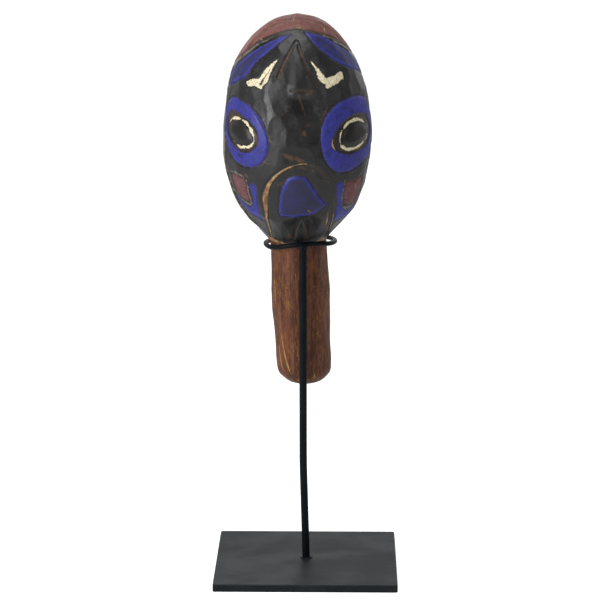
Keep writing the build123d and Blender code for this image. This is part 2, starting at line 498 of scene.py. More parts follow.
class FaceDesign:
    """Distances in mm from each painted area and carved line, less than zero inside it."""

    def __init__(self, skin):
        self.crescents = skin.areas([CRESCENT_LEFT, CRESCENT_RIGHT])
        self.sheen_streak = skin.stroke(SHEEN_STREAK)
        self.eyes = skin.areas([EYE_LEFT, EYE_RIGHT])
        self.sockets = skin.areas([SOCKET_LEFT, SOCKET_RIGHT])
        self.pupils = skin.areas([EYELINE_LEFT, EYELINE_RIGHT])
        self.eyelines = np.minimum(skin.stroke(EYELINE_LEFT, True), skin.stroke(EYELINE_RIGHT, True))
        self.marks = skin.areas([MARK_LEFT, MARK_RIGHT])
        self.slit = skin.stroke(SLIT_LEFT)
        self.nose = skin.strokes(NOSE_LINES)
        self.arch = skin.stroke(MOUTH_ARCH)
        self.mouth = skin.area(MOUTH_ARCH + MOUTH_FLOOR)
        self.tongue = skin.area(TONGUE)
        self.chin = skin.strokes(CHIN_LINES)
        self.cheeks = skin.areas([CHEEK_LEFT, CHEEK_RIGHT])
        self.straps = skin.areas([STRAP_LEFT, STRAP_RIGHT])
        self.trim = skin.strokes(TRIM_LINES)
        self.chips = skin.strokes(CHIPS)
        self.rubbed = skin.strokes(RUBBED)
        cap_line = smooth_line(CAP_EDGE)
        above_cap = skin.heights > np.interp(skin.degrees, cap_line[:, 0], cap_line[:, 1])
        cap_edge = skin.stroke(CAP_EDGE)
        self.cap = np.where(above_cap, -cap_edge, cap_edge)
        turn = math.radians(SEAM_TURN)
        self.seam = skin.places @ np.array([math.sin(turn), -math.cos(turn), 0]) - SEAM_FORWARD


def raise_face(move, skin, face, relief, line_depth):
    """Add the nose, the eyes and the mouth to how far each vertex moves."""
    # The nose is a wedge, widest and proudest at its base, where it is undercut.
    middle = np.interp(skin.heights, NOSE_HEIGHTS, NOSE_MIDDLES)
    side = np.abs(skin.degrees - middle) / np.interp(skin.heights, NOSE_HEIGHTS, NOSE_HALF_WIDTHS)
    across = ramp(side, 1.3, 0.45)
    move += relief * ramp(skin.heights, 128, 100) * ramp(skin.heights, 93.5, 98.5) * across
    move -= 0.5 * relief * ramp(skin.heights, 84, 93) * ramp(skin.heights, 96.5, 93) * across
    # The eyes are low mounds with a sunk socket and a domed pupil.
    move += 0.35 * relief * ramp(-face.eyes, -0.6, 2.5)
    move -= 0.55 * relief * ramp(-face.sockets, -0.5, 1.0)
    move += 0.7 * relief * ramp(-face.pupils, 0, 5)
    move += 0.3 * line_depth * ridge(np.maximum(face.eyelines, 0), 0.5)
    # The mouth is sunk inside its arch, and the tongue lies in it.
    move -= 0.6 * relief * ramp(-face.mouth, 0.2, 2.0) * ramp(skin.heights, 0, 12)
    move += 0.45 * relief * ramp(-face.tongue, -0.3, 1.6)
    move += 0.45 * line_depth * ridge(np.maximum(face.arch, 0), 0.7)


def cut_lines(move, face, line_depth):
    """Sink the carved lines, and say how deep in a groove each vertex is, from 0 to 1."""
    # Each line as distances, its width in mm and its share of the full depth.
    lines = [
        (np.abs(face.arch) - 0.7, 0.45, 0.9),
        (np.abs(face.eyes + 0.1), 0.45, 0.9),
        (np.abs(face.crescents), 0.4, 0.7),
        (np.abs(face.marks) + 0.1, 0.35, 0.6),
        (np.abs(face.tongue), 0.45, 0.8),
        (np.abs(face.straps), 0.4, 0.6),
        (np.abs(face.cheeks), 0.4, 0.6),
        (np.abs(face.cap), 0.5, 0.9),
        (face.nose, 0.6, 1.2),
        (face.chin, 0.7, 1.2),
        (face.slit, 0.5, 1.0),
        (face.chips, 0.4, 0.7),
        (np.abs(face.seam), 0.45, 0.9),
    ]
    groove = np.zeros(len(move))
    for distances, width, share in lines:
        here = ridge(np.maximum(distances, 0), width) * share
        move -= line_depth * here
        groove = np.maximum(groove, here)
    return groove


def carve_head(skin, sizes):
    """How far each vertex moves along its normal in mm, and the masks that the paint reads."""
    line_depth, relief = sizes.line_depth / MM, sizes.relief / MM
    face = FaceDesign(skin)
    cut, near_ridge = head_facets(skin, sizes.facet_depth / MM)
    calm = 1 - 0.7 * np.maximum.reduce(
        [ramp(-face.eyes, 0, 2), ramp(-face.tongue, 0, 2), ramp(-face.marks, 0, 1)]
    )
    growth = np.array(HEAD_GROWTH)
    move = np.interp(skin.heights, growth[:, 0], growth[:, 1]) - cut * calm
    raise_face(move, skin, face, relief, line_depth)
    groove = cut_lines(move, face, line_depth)
    move += 0.05 * lumps(skin.places, 2.3, 3) + 0.12 * lumps(skin.places, 9, 4)
    # The back shell stands a little proud of the front one on the -X side, and a pale band along its edge
    # is partly worn paint and partly painted reflection.
    low_left = ramp(skin.degrees, -40, -60) * ramp(skin.heights, 6, 16) * ramp(skin.heights, 96, 76)
    move += 0.7 * ramp(face.seam, 0.05, -0.05) * ramp(face.seam, -9, -2) * low_left
    proud_rim_wear_and_sheen = np.abs(face.seam + 2.4) - 2.0 * low_left + 1.2 * (1 - low_left)

    # Greyed blue in the middles of the crescents and the tongue; in the crescents and along their streak
    # it is painted sheen.
    dull_and_sheen = [
        ramp(-face.crescents, 1.3, 2.8) * 0.75,
        ramp(-face.tongue, 1.0, 3.2),
        ramp(-face.sheen_streak, -0.8, 0.6),
    ]
    side_on = np.abs(np.sin(np.radians(skin.degrees))) ** 3
    neck_wood = skin.heights - 0.4 - 3.4 * side_on - 0.9 * lumps(skin.places, 7, 5)
    blue_eyes = np.maximum(face.eyes, -face.sockets)
    masks = {
        "blue": np.minimum.reduce([face.crescents, blue_eyes, face.tongue, face.straps]),
        "dull_and_sheen": np.maximum.reduce(dull_and_sheen),
        "cap": face.cap,
        "red": face.cheeks,
        "cream": np.minimum(face.eyelines, np.maximum(face.marks + 0.35, -face.slit)),
        "socket": face.sockets,
        "pupil": face.pupils,
        "wood": np.minimum.reduce([face.arch, face.chips, neck_wood]),
        "rubbed": face.rubbed,
        "trim": np.minimum(face.trim, proud_rim_wear_and_sheen),
        "groove": groove,
        "ridge": near_ridge * calm,
    }
    return move, masks


def head_mesh(cuts, sizes):
    """The whole carved egg as one closed mesh, with the paint's masks on its vertices."""
    shape = bmesh.new()
    bmesh.ops.create_cube(shape, size=2.0)
    bmesh.ops.subdivide_edges(shape, edges=shape.edges[:], cuts=cuts, use_grid_fill=True)
    mesh = bpy.data.meshes.new("head")
    shape.to_mesh(mesh)
    shape.free()
    corners = np.zeros(len(mesh.vertices) * 3)
    mesh.vertices.foreach_get("co", corners)
    directions = np.tan(corners.reshape(-1, 3) * math.pi / 4)
    directions /= np.linalg.norm(directions, axis=1)[:, None]
    skin = HeadSkin(directions)
    move, masks = carve_head(skin, sizes)
    places = skin.places + skin.normals * move[:, None]
    drift = np.array(HEAD_DRIFT)
    places[:, 0] += np.interp(skin.heights, drift[:, 0], drift[:, 1])
    mesh.vertices.foreach_set("co", (places * MM + np.array(NECK)).ravel())
    for name, values in masks.items():
        mesh.attributes.new(name, "FLOAT", "POINT").data.foreach_set("value", values)
    return mesh


def everything(shape):
    """All of a bmesh's geometry, as its operators take it."""
    return shape.verts[:] + shape.edges[:] + shape.faces[:]


def turn_outline(shape, outline, middle, steps):
    """Spin an outline of (radius, height) in mm about Z through a place, and return its faces."""
    before = set(shape.faces)
    verts = [shape.verts.new(middle + Vector((radius, 0, height)) * MM) for radius, height in outline]
    edges = [shape.edges.new(pair) for pair in zip(verts, verts[1:])]
    bmesh.ops.spin(
        shape, geom=verts + edges, cent=middle, axis=UP, angle=math.tau, steps=steps, use_merge=True
    )
    new_faces = [face for face in shape.faces if face not in before]
    new_verts = list(dict.fromkeys(vert for face in new_faces for vert in face.verts))
    bmesh.ops.remove_doubles(shape, verts=new_verts, dist=0.005 * MM)
    return [face for face in shape.faces if face not in before]


def close_cut(shape):
    """Close the open edges of a flat cut with sharp-edged faces."""
    rim = [edge for edge in shape.edges if edge.is_boundary]
    filled = bmesh.ops.triangle_fill(shape, edges=rim, use_beauty=True)["geom"]
    for edge in rim:
        edge.smooth = False
    return [part for part in filled if isinstance(part, bmesh.types.BMFace)]


def head_shell(mesh, name, facing):
    """One half of the hollow head. facing is 1 for the front shell and -1 for the back one."""
    shape = bmesh.new()
    shape.from_mesh(mesh)
    for face in shape.faces:
        face.smooth = True
    bmesh.ops.bisect_plane(
        shape, geom=everything(shape), plane_co=NECK, plane_no=-UP, clear_outer=True
    )
    hollow = BORE_OUTLINE + [tuple(point) for point in smooth_line(HOLLOW_OUTLINE, samples=5)[1:]]
    inner = turn_outline(shape, hollow, NECK, 72)
    inner += close_cut(shape)
    for face in inner:
        face.material_index = 1
    turn = math.radians(SEAM_TURN)
    forward = Vector((math.sin(turn), -math.cos(turn), 0))
    bmesh.ops.bisect_plane(
        shape,
        geom=everything(shape),
        plane_co=NECK + forward * SEAM_FORWARD * MM,
        plane_no=forward * -facing,
        clear_outer=True,
    )
    for face in close_cut(shape):
        face.material_index = 1
    bmesh.ops.recalc_face_normals(shape, faces=shape.faces[:])
    return new_piece(shape, name)


def soften(shape):
    """Shade every face smoothly and turn them all outward."""
    for face in shape.faces:
        face.smooth = True
    bmesh.ops.recalc_face_normals(shape, faces=shape.faces[:])


def new_piece(shape, name):
    """An object at the origin from a finished bmesh."""
    mesh = bpy.data.meshes.new(name)
    shape.to_mesh(mesh)
    shape.free()
    piece = bpy.data.objects.new(name, mesh)
    bpy.context.scene.collection.objects.link(piece)
    return piece


def finish_piece(piece, body, finishes, node):
    """Give a piece its materials and its body, and hide the CAD node that it stands for."""
    for finish in finishes:
        piece.data.materials.append(bpy.data.materials[finish])
    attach(piece, body)
    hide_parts(node)


# ---------------------------------------------------------------- node helpers


def add_node(tree, kind, inputs=None, **settings):
    """A new node. inputs maps socket names or numbers to values, colours or other sockets."""
    node = tree.nodes.new(kind)
    for name, value in settings.items():
        setattr(node, name, value)
    for name, value in (inputs or {}).items():
        socket = node.inputs[name]
        if isinstance(value, bpy.types.NodeSocket):
            tree.links.new(value, socket)
        elif socket.type == "RGBA":
            socket.default_value = (*value, 1)
        else:
            socket.default_value = value
    return node


def maths(tree, operation, first, second=0.0, clamp=False):
    """A Math node's result."""
    inputs = {0: first, 1: second}
    return add_node(tree, "ShaderNodeMath", inputs, operation=operation, use_clamp=clamp).outputs[0]


def plus(tree, first, second):
    """Two values added."""
    return maths(tree, "ADD", first, second)


def times(tree, first, second):
    """Two values multiplied."""
    return maths(tree, "MULTIPLY", first, second)


def mixed(tree, share, first, second, blend="MIX"):
    """A colour between two, by a share from 0 to 1."""
    inputs = {0: share, 6: first, 7: second}
    node = add_node(tree, "ShaderNodeMix", inputs, data_type="RGBA", blend_type=blend)
    return node.outputs[2]


def coat(tree, shade, mask_value, cover, paint):
    """A shade with another colour laid over it where a mask is 1, as thickly as cover says."""
    return mixed(tree, times(tree, mask_value, cover), shade, paint)


def levels(tree, value, low, high, to_low=0.0, to_high=1.0):
    """A value smoothly stepped from low and high to two others."""
    if low > high:
        low, high, to_low, to_high = high, low, to_high, to_low
    inputs = {"Value": value, "From Min": low, "From Max": high, "To Min": to_low, "To Max": to_high}
    node = add_node(tree, "ShaderNodeMapRange", inputs, interpolation_type="SMOOTHSTEP")
    return node.outputs["Result"]


def noise(tree, place, scale, detail=3.0, roughness=0.55):
    """Noise from 0 to 1, with a scale in cycles per mm."""
    inputs = {"Vector": place, "Scale": scale, "Detail": detail, "Roughness": roughness}
    return add_node(tree, "ShaderNodeTexNoise", inputs).outputs["Fac"]


def stretched(tree, place, scale):
    """A place with each axis scaled, which turns noise into streaks."""
    return add_node(tree, "ShaderNodeMapping", {"Vector": place, "Scale": scale}).outputs[0]


def millimetres(tree):
    """Object coordinates in mm."""
    place = add_node(tree, "ShaderNodeTexCoord").outputs["Object"]
    inputs = {0: place, "Scale": 1 / MM}
    return add_node(tree, "ShaderNodeVectorMath", inputs, operation="SCALE").outputs[0]


def mask(tree, name):
    """One of the masks on a mesh's vertices."""
    return add_node(tree, "ShaderNodeAttribute", attribute_name=name).outputs["Fac"]


def new_group(name, inputs, outputs):
    """An empty shader node group, its input sockets by name and its output node."""
    group = bpy.data.node_groups.new(name, "ShaderNodeTree")
    for in_out, sockets in (("INPUT", inputs), ("OUTPUT", outputs)):
        for socket, kind in sockets.items():
            group.interface.new_socket(name=socket, in_out=in_out, socket_type=f"NodeSocket{kind}")
    return group, group.nodes.new("NodeGroupInput").outputs, group.nodes.new("NodeGroupOutput").inputs


def placed(tree, name, inputs):
    """The outputs of a node group put into a tree."""
    group = bpy.data.node_groups[name]
    return add_node(tree, "ShaderNodeGroup", inputs, node_tree=group).outputs


# ---------------------------------------------------------------- shared effects


def build_painted_edge():
    """A painted area's mask from its distance, with an edge as uneven as a brush leaves it."""
    tree, given, result = new_group(
        "Painted Edge",
        {"Place": "Vector", "Distance": "Float", "Wander": "Float", "Softness": "Float"},
        {"Mask": "Float"},
    )
    broad = maths(tree, "SUBTRACT", noise(tree, given["Place"], 0.32, 2.0), 0.5)
    fine = maths(tree, "SUBTRACT", noise(tree, given["Place"], 1.7, 2.0), 0.5)
    both = plus(tree, broad, times(tree, fine, 0.55))
    wandered = plus(tree, given["Distance"], times(tree, both, given["Wander"]))
    share = maths(tree, "DIVIDE", wandered, given["Softness"])
    tree.links.new(levels(tree, share, 0.5, -0.5), result["Mask"])


def build_brushwork():
    """Streaks of thick and thin paint, and small specks where it missed."""
    tree, given, result = new_group(
        "Brushwork", {"Place": "Vector", "Specks": "Float"}, {"Streaks": "Float", "Missed": "Float"}
    )
    down = noise(tree, stretched(tree, given["Place"], (1.6, 1.6, 0.28)), 1.0, 4.0, 0.6)
    across = noise(tree, stretched(tree, given["Place"], (0.3, 0.3, 1.5)), 1.0, 4.0, 0.6)
    where = levels(tree, noise(tree, given["Place"], 0.08, 1.0), 0.42, 0.58)
    inputs = {0: where, 2: down, 3: across}
    streaks = add_node(tree, "ShaderNodeMix", inputs, data_type="FLOAT").outputs[0]
    speckle = noise(tree, given["Place"], 2.2, 3.0, 0.7)
    limit = maths(tree, "SUBTRACT", 0.80, times(tree, given["Specks"], 0.2))
    missed = levels(tree, maths(tree, "SUBTRACT", speckle, limit), 0.0, 0.05)
    tree.links.new(streaks, result["Streaks"])
    tree.links.new(missed, result["Missed"])


def build_wood_grain():
    """Long streaks and pores along Z, as a colour between two woods and as a height."""
    tree, given, result = new_group(
        "Wood Grain",
        {"Place": "Vector", "Light": "Color", "Dark": "Color", "Contrast": "Float"},
        {"Colour": "Color", "Height": "Float"},
    )
    bend = noise(tree, given["Place"], 0.03, 1.0)
    offset = add_node(tree, "ShaderNodeCombineXYZ", {"X": bend, "Y": bend}).outputs[0]
    inputs = {0: given["Place"], 1: offset}
    bent = add_node(tree, "ShaderNodeVectorMath", inputs, operation="ADD").outputs[0]
    wide = noise(tree, stretched(tree, bent, (0.35, 0.35, 0.02)), 1.0, 3.0, 0.6)
    fine = noise(tree, stretched(tree, bent, (2.2, 2.2, 0.07)), 1.0, 3.0, 0.65)
    pores = noise(tree, stretched(tree, bent, (5.0, 5.0, 0.35)), 1.0, 2.0, 0.6)
    streaks = plus(tree, times(tree, wide, 0.55), times(tree, fine, 0.45))
    share = maths(tree, "MULTIPLY", levels(tree, streaks, 0.36, 0.62), given["Contrast"], clamp=True)
    wood = mixed(tree, share, given["Light"], given["Dark"])
    pitted = times(tree, levels(tree, pores, 0.58, 0.72), 0.55)
    wood = mixed(tree, pitted, wood, given["Dark"], "MULTIPLY")
    tree.links.new(wood, result["Colour"])
    height = maths(tree, "SUBTRACT", streaks, levels(tree, pores, 0.56, 0.7, 0.0, 0.5))
    tree.links.new(height, result["Height"])


def build_rubbing():
    """Where handling has rubbed a finish: patches that follow edges and break up finely."""
    tree, given, result = new_group(
        "Rubbing", {"Place": "Vector", "Edge": "Float", "Amount": "Float"}, {"Mask": "Float"}
    )
    patches = noise(tree, given["Place"], 0.12, 2.0)
    breakup = noise(tree, given["Place"], 1.3, 4.0, 0.65)
    worn = plus(tree, times(tree, given["Edge"], 0.35), times(tree, patches, 0.6))
    worn = plus(tree, worn, times(tree, breakup, 0.5))
    limit = maths(tree, "SUBTRACT", 1.15, times(tree, given["Amount"], 0.5))
    tree.links.new(levels(tree, maths(tree, "SUBTRACT", worn, limit), -0.03, 0.08), result["Mask"])


def painted_edge(tree, place, distance, wander, softness):
    """The mask of a painted area from its distance."""
    inputs = {"Place": place, "Distance": distance, "Wander": wander, "Softness": softness}
    return placed(tree, "Painted Edge", inputs)["Mask"]


def wood_grain(tree, place, light, dark, contrast):
    """The wood's Colour and Height."""
    inputs = {"Place": place, "Light": light, "Dark": dark, "Contrast": contrast}
    return placed(tree, "Wood Grain", inputs)


def rubbing(tree, place, edge, amount):
    """The mask of the rubbed places."""
    return placed(tree, "Rubbing", {"Place": place, "Edge": edge, "Amount": amount})["Mask"]


def new_material(name):
    """Start a material, and return its tree, its Principled BSDF and its coordinates in mm."""
    material = bpy.data.materials.new(name)
    material.use_nodes = True
    tree = material.node_tree
    tree.nodes.clear()
    shader = add_node(tree, "ShaderNodeBsdfPrincipled")
    output = add_node(tree, "ShaderNodeOutputMaterial")
    tree.links.new(shader.outputs[0], output.inputs["Surface"])
    return tree, shader, millimetres(tree)


def set_bump(tree, shader, height, distance, strength=1.0):
    """Feed a height in mm into the shader's normal."""
    inputs = {"Height": height, "Distance": distance * MM, "Strength": strength}
    bump = add_node(tree, "ShaderNodeBump", inputs)
    tree.links.new(bump.outputs[0], shader.inputs["Normal"])


# ---------------------------------------------------------------- materials

# The second shades that each finish is mixed from, beside the colours in the settings.
FADED_BLACK = (0.015, 0.0145, 0.0145)
DRY_BLACK = (0.032, 0.032, 0.033)
OLIVE_FILM = (0.060, 0.048, 0.028)
CAP_STREAK = (0.20, 0.075, 0.062)
DRY_RED = (0.17, 0.07, 0.075)
BRIGHT_BLUE = (0.028, 0.032, 0.30)
HEAVY_BLUE = (0.010, 0.010, 0.060)
# Greyed blue for the middles of the crescents and the tongue, partly painted sheen.
DULL_AND_SHEEN_BLUE = (0.014, 0.014, 0.052)
THIN_BLUE = (0.012, 0.012, 0.05)
SOCKET_BLACK = (0.011, 0.009, 0.007)
SOCKET_BROWN = (0.040, 0.024, 0.012)
PUPIL_BLACK = (0.006, 0.006, 0.006)
# Grey-olive for the trim lines, and for the pale band along the back shell's rim, which is partly painted
# reflection.
TRIM_AND_RIM_SHEEN_OLIVE = (0.20, 0.18, 0.135)
# Dark for the carved grooves: dirt and painted shade.
GROOVE_DIRT_AND_SHADE = (0.012, 0.010, 0.010)
GROOVE_WOOD = (0.10, 0.055, 0.026)
WORN_RIDGE = (0.085, 0.045, 0.026)
RUBBED_WOOD = (0.12, 0.058, 0.026)
CREAM_SPECK = (0.20, 0.15, 0.09)
CHIPPED_GRAIN = (0.12, 0.045, 0.018)
HANDLE_GRAIN = (0.050, 0.014, 0.006)
HANDLE_MOTTLE = (0.25, 0.085, 0.018)
HANDLE_PALE = (0.40, 0.20, 0.050)
HANDLE_DARK = (0.030, 0.010, 0.005)
HANDLE_RIDGE = (0.30, 0.14, 0.04)
HANDLE_NICK = (0.46, 0.26, 0.075)
RAW_GRAIN = (0.20, 0.095, 0.035)
STEEL_CLOUD = (0.0105, 0.0125, 0.015)
STEEL_DUST = (0.09, 0.09, 0.088)
STONE_DARK = (0.10, 0.085, 0.07)
STONE_PALE = (0.32, 0.29, 0.25)
STONE_SPECK = (0.06, 0.055, 0.05)
PAPER_DARK = (0.84, 0.84, 0.84)
PAPER_PALE = (0.86, 0.86, 0.86)


def painted_wood(colours):
    """The head's finish: black, blue, red and cream paint over wood, cut, worn and handled."""
    tree, shader, place = new_material("painted_head")

    def painted(name, wander, softness=0.3, shift=0.0):
        return painted_edge(tree, place, plus(tree, mask(tree, name), shift), wander, softness)

    brush = placed(tree, "Brushwork", {"Place": place, "Specks": 0.55})
    streaks, missed = brush["Streaks"], brush["Missed"]
    haze = noise(tree, place, 0.05, 3.0, 0.6)

    black = mixed(tree, levels(tree, haze, 0.35, 0.7), colours.black, FADED_BLACK)
    black = mixed(tree, levels(tree, streaks, 0.55, 0.75, 0.0, 0.35), black, DRY_BLACK)
    olive = times(tree, levels(tree, mask(tree, "cap"), 3.8, 1.2), levels(tree, haze, 0.40, 0.6))
    shade = mixed(tree, times(tree, olive, 0.6), black, OLIVE_FILM)

    cap_mask = painted("cap", 0.9, 0.35, 0.4)
    cap_grain = wood_grain(tree, place, CAP_STREAK, colours.cap, 1.0)
    shade = mixed(tree, cap_mask, shade, cap_grain["Colour"])

    red_mask = painted("red", 4.0, 0.6)
    red = mixed(tree, levels(tree, streaks, 0.35, 0.7), colours.red, DRY_RED)
    shade = mixed(tree, red_mask, shade, red)

    blue_mask = painted("blue", 4.0, 0.4)
    bright = mixed(tree, levels(tree, streaks, 0.38, 0.66), colours.blue, BRIGHT_BLUE)
    heavy = levels(tree, noise(tree, place, 0.22, 3.0, 0.65), 0.50, 0.66, 0.0, 0.6)
    bright = mixed(tree, heavy, bright, HEAVY_BLUE)
    # The blue is greyed in the middles of the crescents and the tongue, partly as painted sheen.
    dull_and_sheen_share = times(tree, mask(tree, "dull_and_sheen"), levels(tree, haze, 0.3, 0.55, 0.75, 1.0))
    blue = mixed(tree, dull_and_sheen_share, bright, DULL_AND_SHEEN_BLUE)
    blue = coat(tree, blue, missed, 0.8, THIN_BLUE)
    shade = mixed(tree, blue_mask, shade, blue)

    socket = mixed(tree, levels(tree, haze, 0.4, 0.6), SOCKET_BLACK, SOCKET_BROWN)
    shade = coat(tree, shade, painted("socket", 3.0, 0.6), 0.85, socket)
    shade = coat(tree, shade, painted("pupil", 0.3), 0.85, PUPIL_BLACK)
    # Grey-olive lines, and a pale band along the back shell's rim that is partly painted reflection.
    shade = coat(tree, shade, painted("trim", 3.0, 0.6), 0.75, TRIM_AND_RIM_SHEEN_OLIVE)

    # The grooves are darkened by their depth, partly as dirt and partly as painted shade, with brown wood
    # along their rims.
    rim = times(tree, mask(tree, "groove"), levels(tree, haze, 0.42, 0.6))
    shade = coat(tree, shade, mask(tree, "groove"), 0.75, GROOVE_DIRT_AND_SHADE)
    shade = coat(tree, shade, rim, 0.22, GROOVE_WOOD)

    shade = coat(tree, shade, rubbing(tree, place, mask(tree, "ridge"), 0.45), 0.55, WORN_RIDGE)
    shade = coat(tree, shade, painted("rubbed", 4.5, 1.4), 0.55, RUBBED_WOOD)

    cream_mask = painted("cream", 2.6, 0.3)
    cream_specks = times(tree, levels(tree, noise(tree, place, 1.1, 4.0, 0.75), 0.51, 0.61), 0.75)
    cream = mixed(tree, cream_specks, colours.cream, CREAM_SPECK)
    shade = mixed(tree, cream_mask, shade, cream)

    wood_mask = painted("wood", 0.7, 0.35)
    bare = wood_grain(tree, place, colours.bare, CHIPPED_GRAIN, 0.9)
    shade = mixed(tree, wood_mask, shade, bare["Colour"])
    tree.links.new(shade, shader.inputs["Base Color"])

    shader.inputs["Specular IOR Level"].default_value = 0.40
    gloss = levels(tree, haze, 0.3, 0.7, 0.24, 0.42)
    covered = maths(tree, "MAXIMUM", blue_mask, maths(tree, "MAXIMUM", red_mask, cream_mask))
    gloss = plus(tree, gloss, times(tree, covered, 0.14))
    gloss = plus(tree, gloss, times(tree, maths(tree, "MAXIMUM", wood_mask, cap_mask), 0.12))
    gloss = plus(tree, gloss, times(tree, streaks, 0.08))
    tree.links.new(gloss, shader.inputs["Roughness"])

    thick = times(tree, plus(tree, covered, streaks), 0.5)
    height = plus(tree, thick, times(tree, bare["Height"], wood_mask))
    height = plus(tree, height, times(tree, noise(tree, place, 0.9, 5.0), 0.35))
    set_bump(tree, shader, height, 0.16, 0.8)


def stained_wood(colours):
    """The handle's finish: red-brown stain in streaks over paler wood."""
    tree, shader, place = new_material("streaky_handle")
    grain = wood_grain(tree, place, colours.stained, HANDLE_GRAIN, 1.0)
    mottle = noise(tree, stretched(tree, place, (0.5, 0.5, 0.14)), 1.0, 4.0, 0.65)
    shade = coat(tree, grain["Colour"], levels(tree, mottle, 0.45, 0.65), 0.5, HANDLE_MOTTLE)
    fleck = noise(tree, stretched(tree, place, (1.1, 1.1, 0.17)), 1.0, 4.0, 0.7)
    shade = coat(tree, shade, levels(tree, fleck, 0.60, 0.68), 0.6, HANDLE_PALE)
    shade = coat(tree, shade, levels(tree, fleck, 0.40, 0.32), 0.6, HANDLE_DARK)
    shade = coat(tree, shade, rubbing(tree, place, mask(tree, "ridge"), 0.48), 0.5, HANDLE_RIDGE)
    nicks = painted_edge(tree, place, mask(tree, "nicks"), 1.1, 0.5)
    shade = coat(tree, shade, nicks, 0.85, HANDLE_NICK)
    tree.links.new(shade, shader.inputs["Base Color"])
    tree.links.new(levels(tree, grain["Height"], 0.0, 0.8, 0.55, 0.40), shader.inputs["Roughness"])
    shader.inputs["Specular IOR Level"].default_value = 0.28
    set_bump(tree, shader, grain["Height"], 0.22, 0.9)


def bare_wood(colours):
    """Unfinished wood: the hollow's walls, the seam's faces and the pegs."""
    tree, shader, place = new_material("raw_wood")
    grain = wood_grain(tree, place, colours.bare, RAW_GRAIN, 0.8)
    tree.links.new(grain["Colour"], shader.inputs["Base Color"])
    tree.links.new(levels(tree, grain["Height"], 0.0, 0.8, 0.78, 0.62), shader.inputs["Roughness"])
    set_bump(tree, shader, grain["Height"], 0.2)


def blackened_steel(name, colours, roughness, mottle, shine):
    """Blackened and waxed steel, cloudy on a large scale and finely pitted."""
    tree, shader, place = new_material(name)
    clouds = noise(tree, place, 0.035, 4.0, 0.6)
    pits = noise(tree, place, 2.6, 3.0, 0.6)
    smear = noise(tree, stretched(tree, place, (0.03, 0.05, 0.05)), 1.0, 3.0)
    shade = coat(tree, colours.steel, levels(tree, clouds, 0.38, 0.65), mottle, STEEL_CLOUD)
    shade = coat(tree, shade, rubbing(tree, place, 0.0, 0.35), 0.16, STEEL_DUST)
    tree.links.new(shade, shader.inputs["Base Color"])
    wiped = levels(tree, plus(tree, clouds, smear), 0.7, 1.3, roughness - 0.07, roughness + 0.08)
    tree.links.new(wiped, shader.inputs["Roughness"])
    shader.inputs["Specular IOR Level"].default_value = shine
    shader.inputs["Specular Tint"].default_value = (0.88, 0.96, 1.0, 1)
    set_bump(tree, shader, plus(tree, pits, clouds), 0.03, 0.7)


def river_pebble():
    """Small worn stones, speckled and dusty."""
    tree, shader, place = new_material("tumbled_stone")
    shade = mixed(tree, noise(tree, place, 0.25, 4.0), STONE_DARK, STONE_PALE)
    specks = levels(tree, noise(tree, place, 2.4, 3.0, 0.7), 0.56, 0.64)
    shade = coat(tree, shade, specks, 0.6, STONE_SPECK)
    tree.links.new(shade, shader.inputs["Base Color"])
    tree.links.new(levels(tree, specks, 0.0, 1.0, 0.55, 0.7), shader.inputs["Roughness"])
    set_bump(tree, shader, noise(tree, place, 1.5, 4.0), 0.08)


# ---------------------------------------------------------------- operators


class RATTLE_OT_finishes(bpy.types.Operator):
    """Build the shared effects and every material"""

    bl_idname = "rattle.finishes"
    bl_label = "Finishes"

    def execute(self, context):
        colours = context.scene.rattle_colours
        build_painted_edge()
        build_brushwork()
        build_wood_grain()
        build_rubbing()
        painted_wood(colours)
        stained_wood(colours)
        bare_wood(colours)
        blackened_steel("plate_steel", colours, 0.48, 0.8, 0.26)
        blackened_steel("rod_steel", colours, 0.34, 0.4, 0.08)
        river_pebble()
        return {"FINISHED"}


# The head's CAD nodes, the side each one is on and how finely its skin is divided.
HEAD_SHELLS = (("head_front", 1, 170), ("head_back", -1, 120))


class RATTLE_OT_head(bpy.types.Operator):
    """Carve and paint the head's front and back shells"""

    bl_idname = "rattle.head"
    bl_label = "Head Shells"

    def execute(self, context):
        sizes = context.scene.rattle_sizes
        for node, facing, cuts in HEAD_SHELLS:
            mesh = head_mesh(cuts, sizes)
            shell = head_shell(mesh, f"carved_{node}", facing)
            bpy.data.meshes.remove(mesh)
            finish_piece(shell, "rattle", ["painted_head", "raw_wood"], node)
        return {"FINISHED"}


HANDLE_OUTLINE = [
    (17.2, 0), (17.3, -8), (18.0, -25), (18.2, -44), (17.4, -56), (17.1, -68), (17.0, -78),
    (15.7, -86), (10.3, -90.8), (0, -92.9),
]
TENON_OUTLINE = [(0, 22), (11, 22), (11, 0)]
HANDLE_LEAN = 0.043  # how far the handle leans to +X for each mm down
HANDLE_OFFSET = 0.6
HANDLE_END = -84  # below this height the handle's end rounds off
HANDLE_CUT_ROWS = 7
HANDLE_CUTS_ROUND = 11
END_CUTS_ROUND = 8
# Radius, height and tilt of the two rings of cuts round the handle's end.
END_CUTS = ((13.4, -88.5, -1.0), (5.0, -92.6, -5.0))
# Pale nicks and scores on the handle, as (degrees, height, half width).
HANDLE_NICKS = [
    [(-62, -22, 0.2), (-60, -30, 0.45), (-61, -40, 0.15)],
    [(-50, -58, 0.15), (-46, -66, 0.4), (-38, -76, 0.4), (-30, -84, 0.2)],
    [(-64, -60, 0.1), (-58, -72, 0.35), (-52, -82, 0.3)],
    [(20, -80, 0.2), (26, -87, 0.4)],
    [(-20, -88, 0.3), (-4, -90.5, 0.5), (10, -90.5, 0.3)],
]


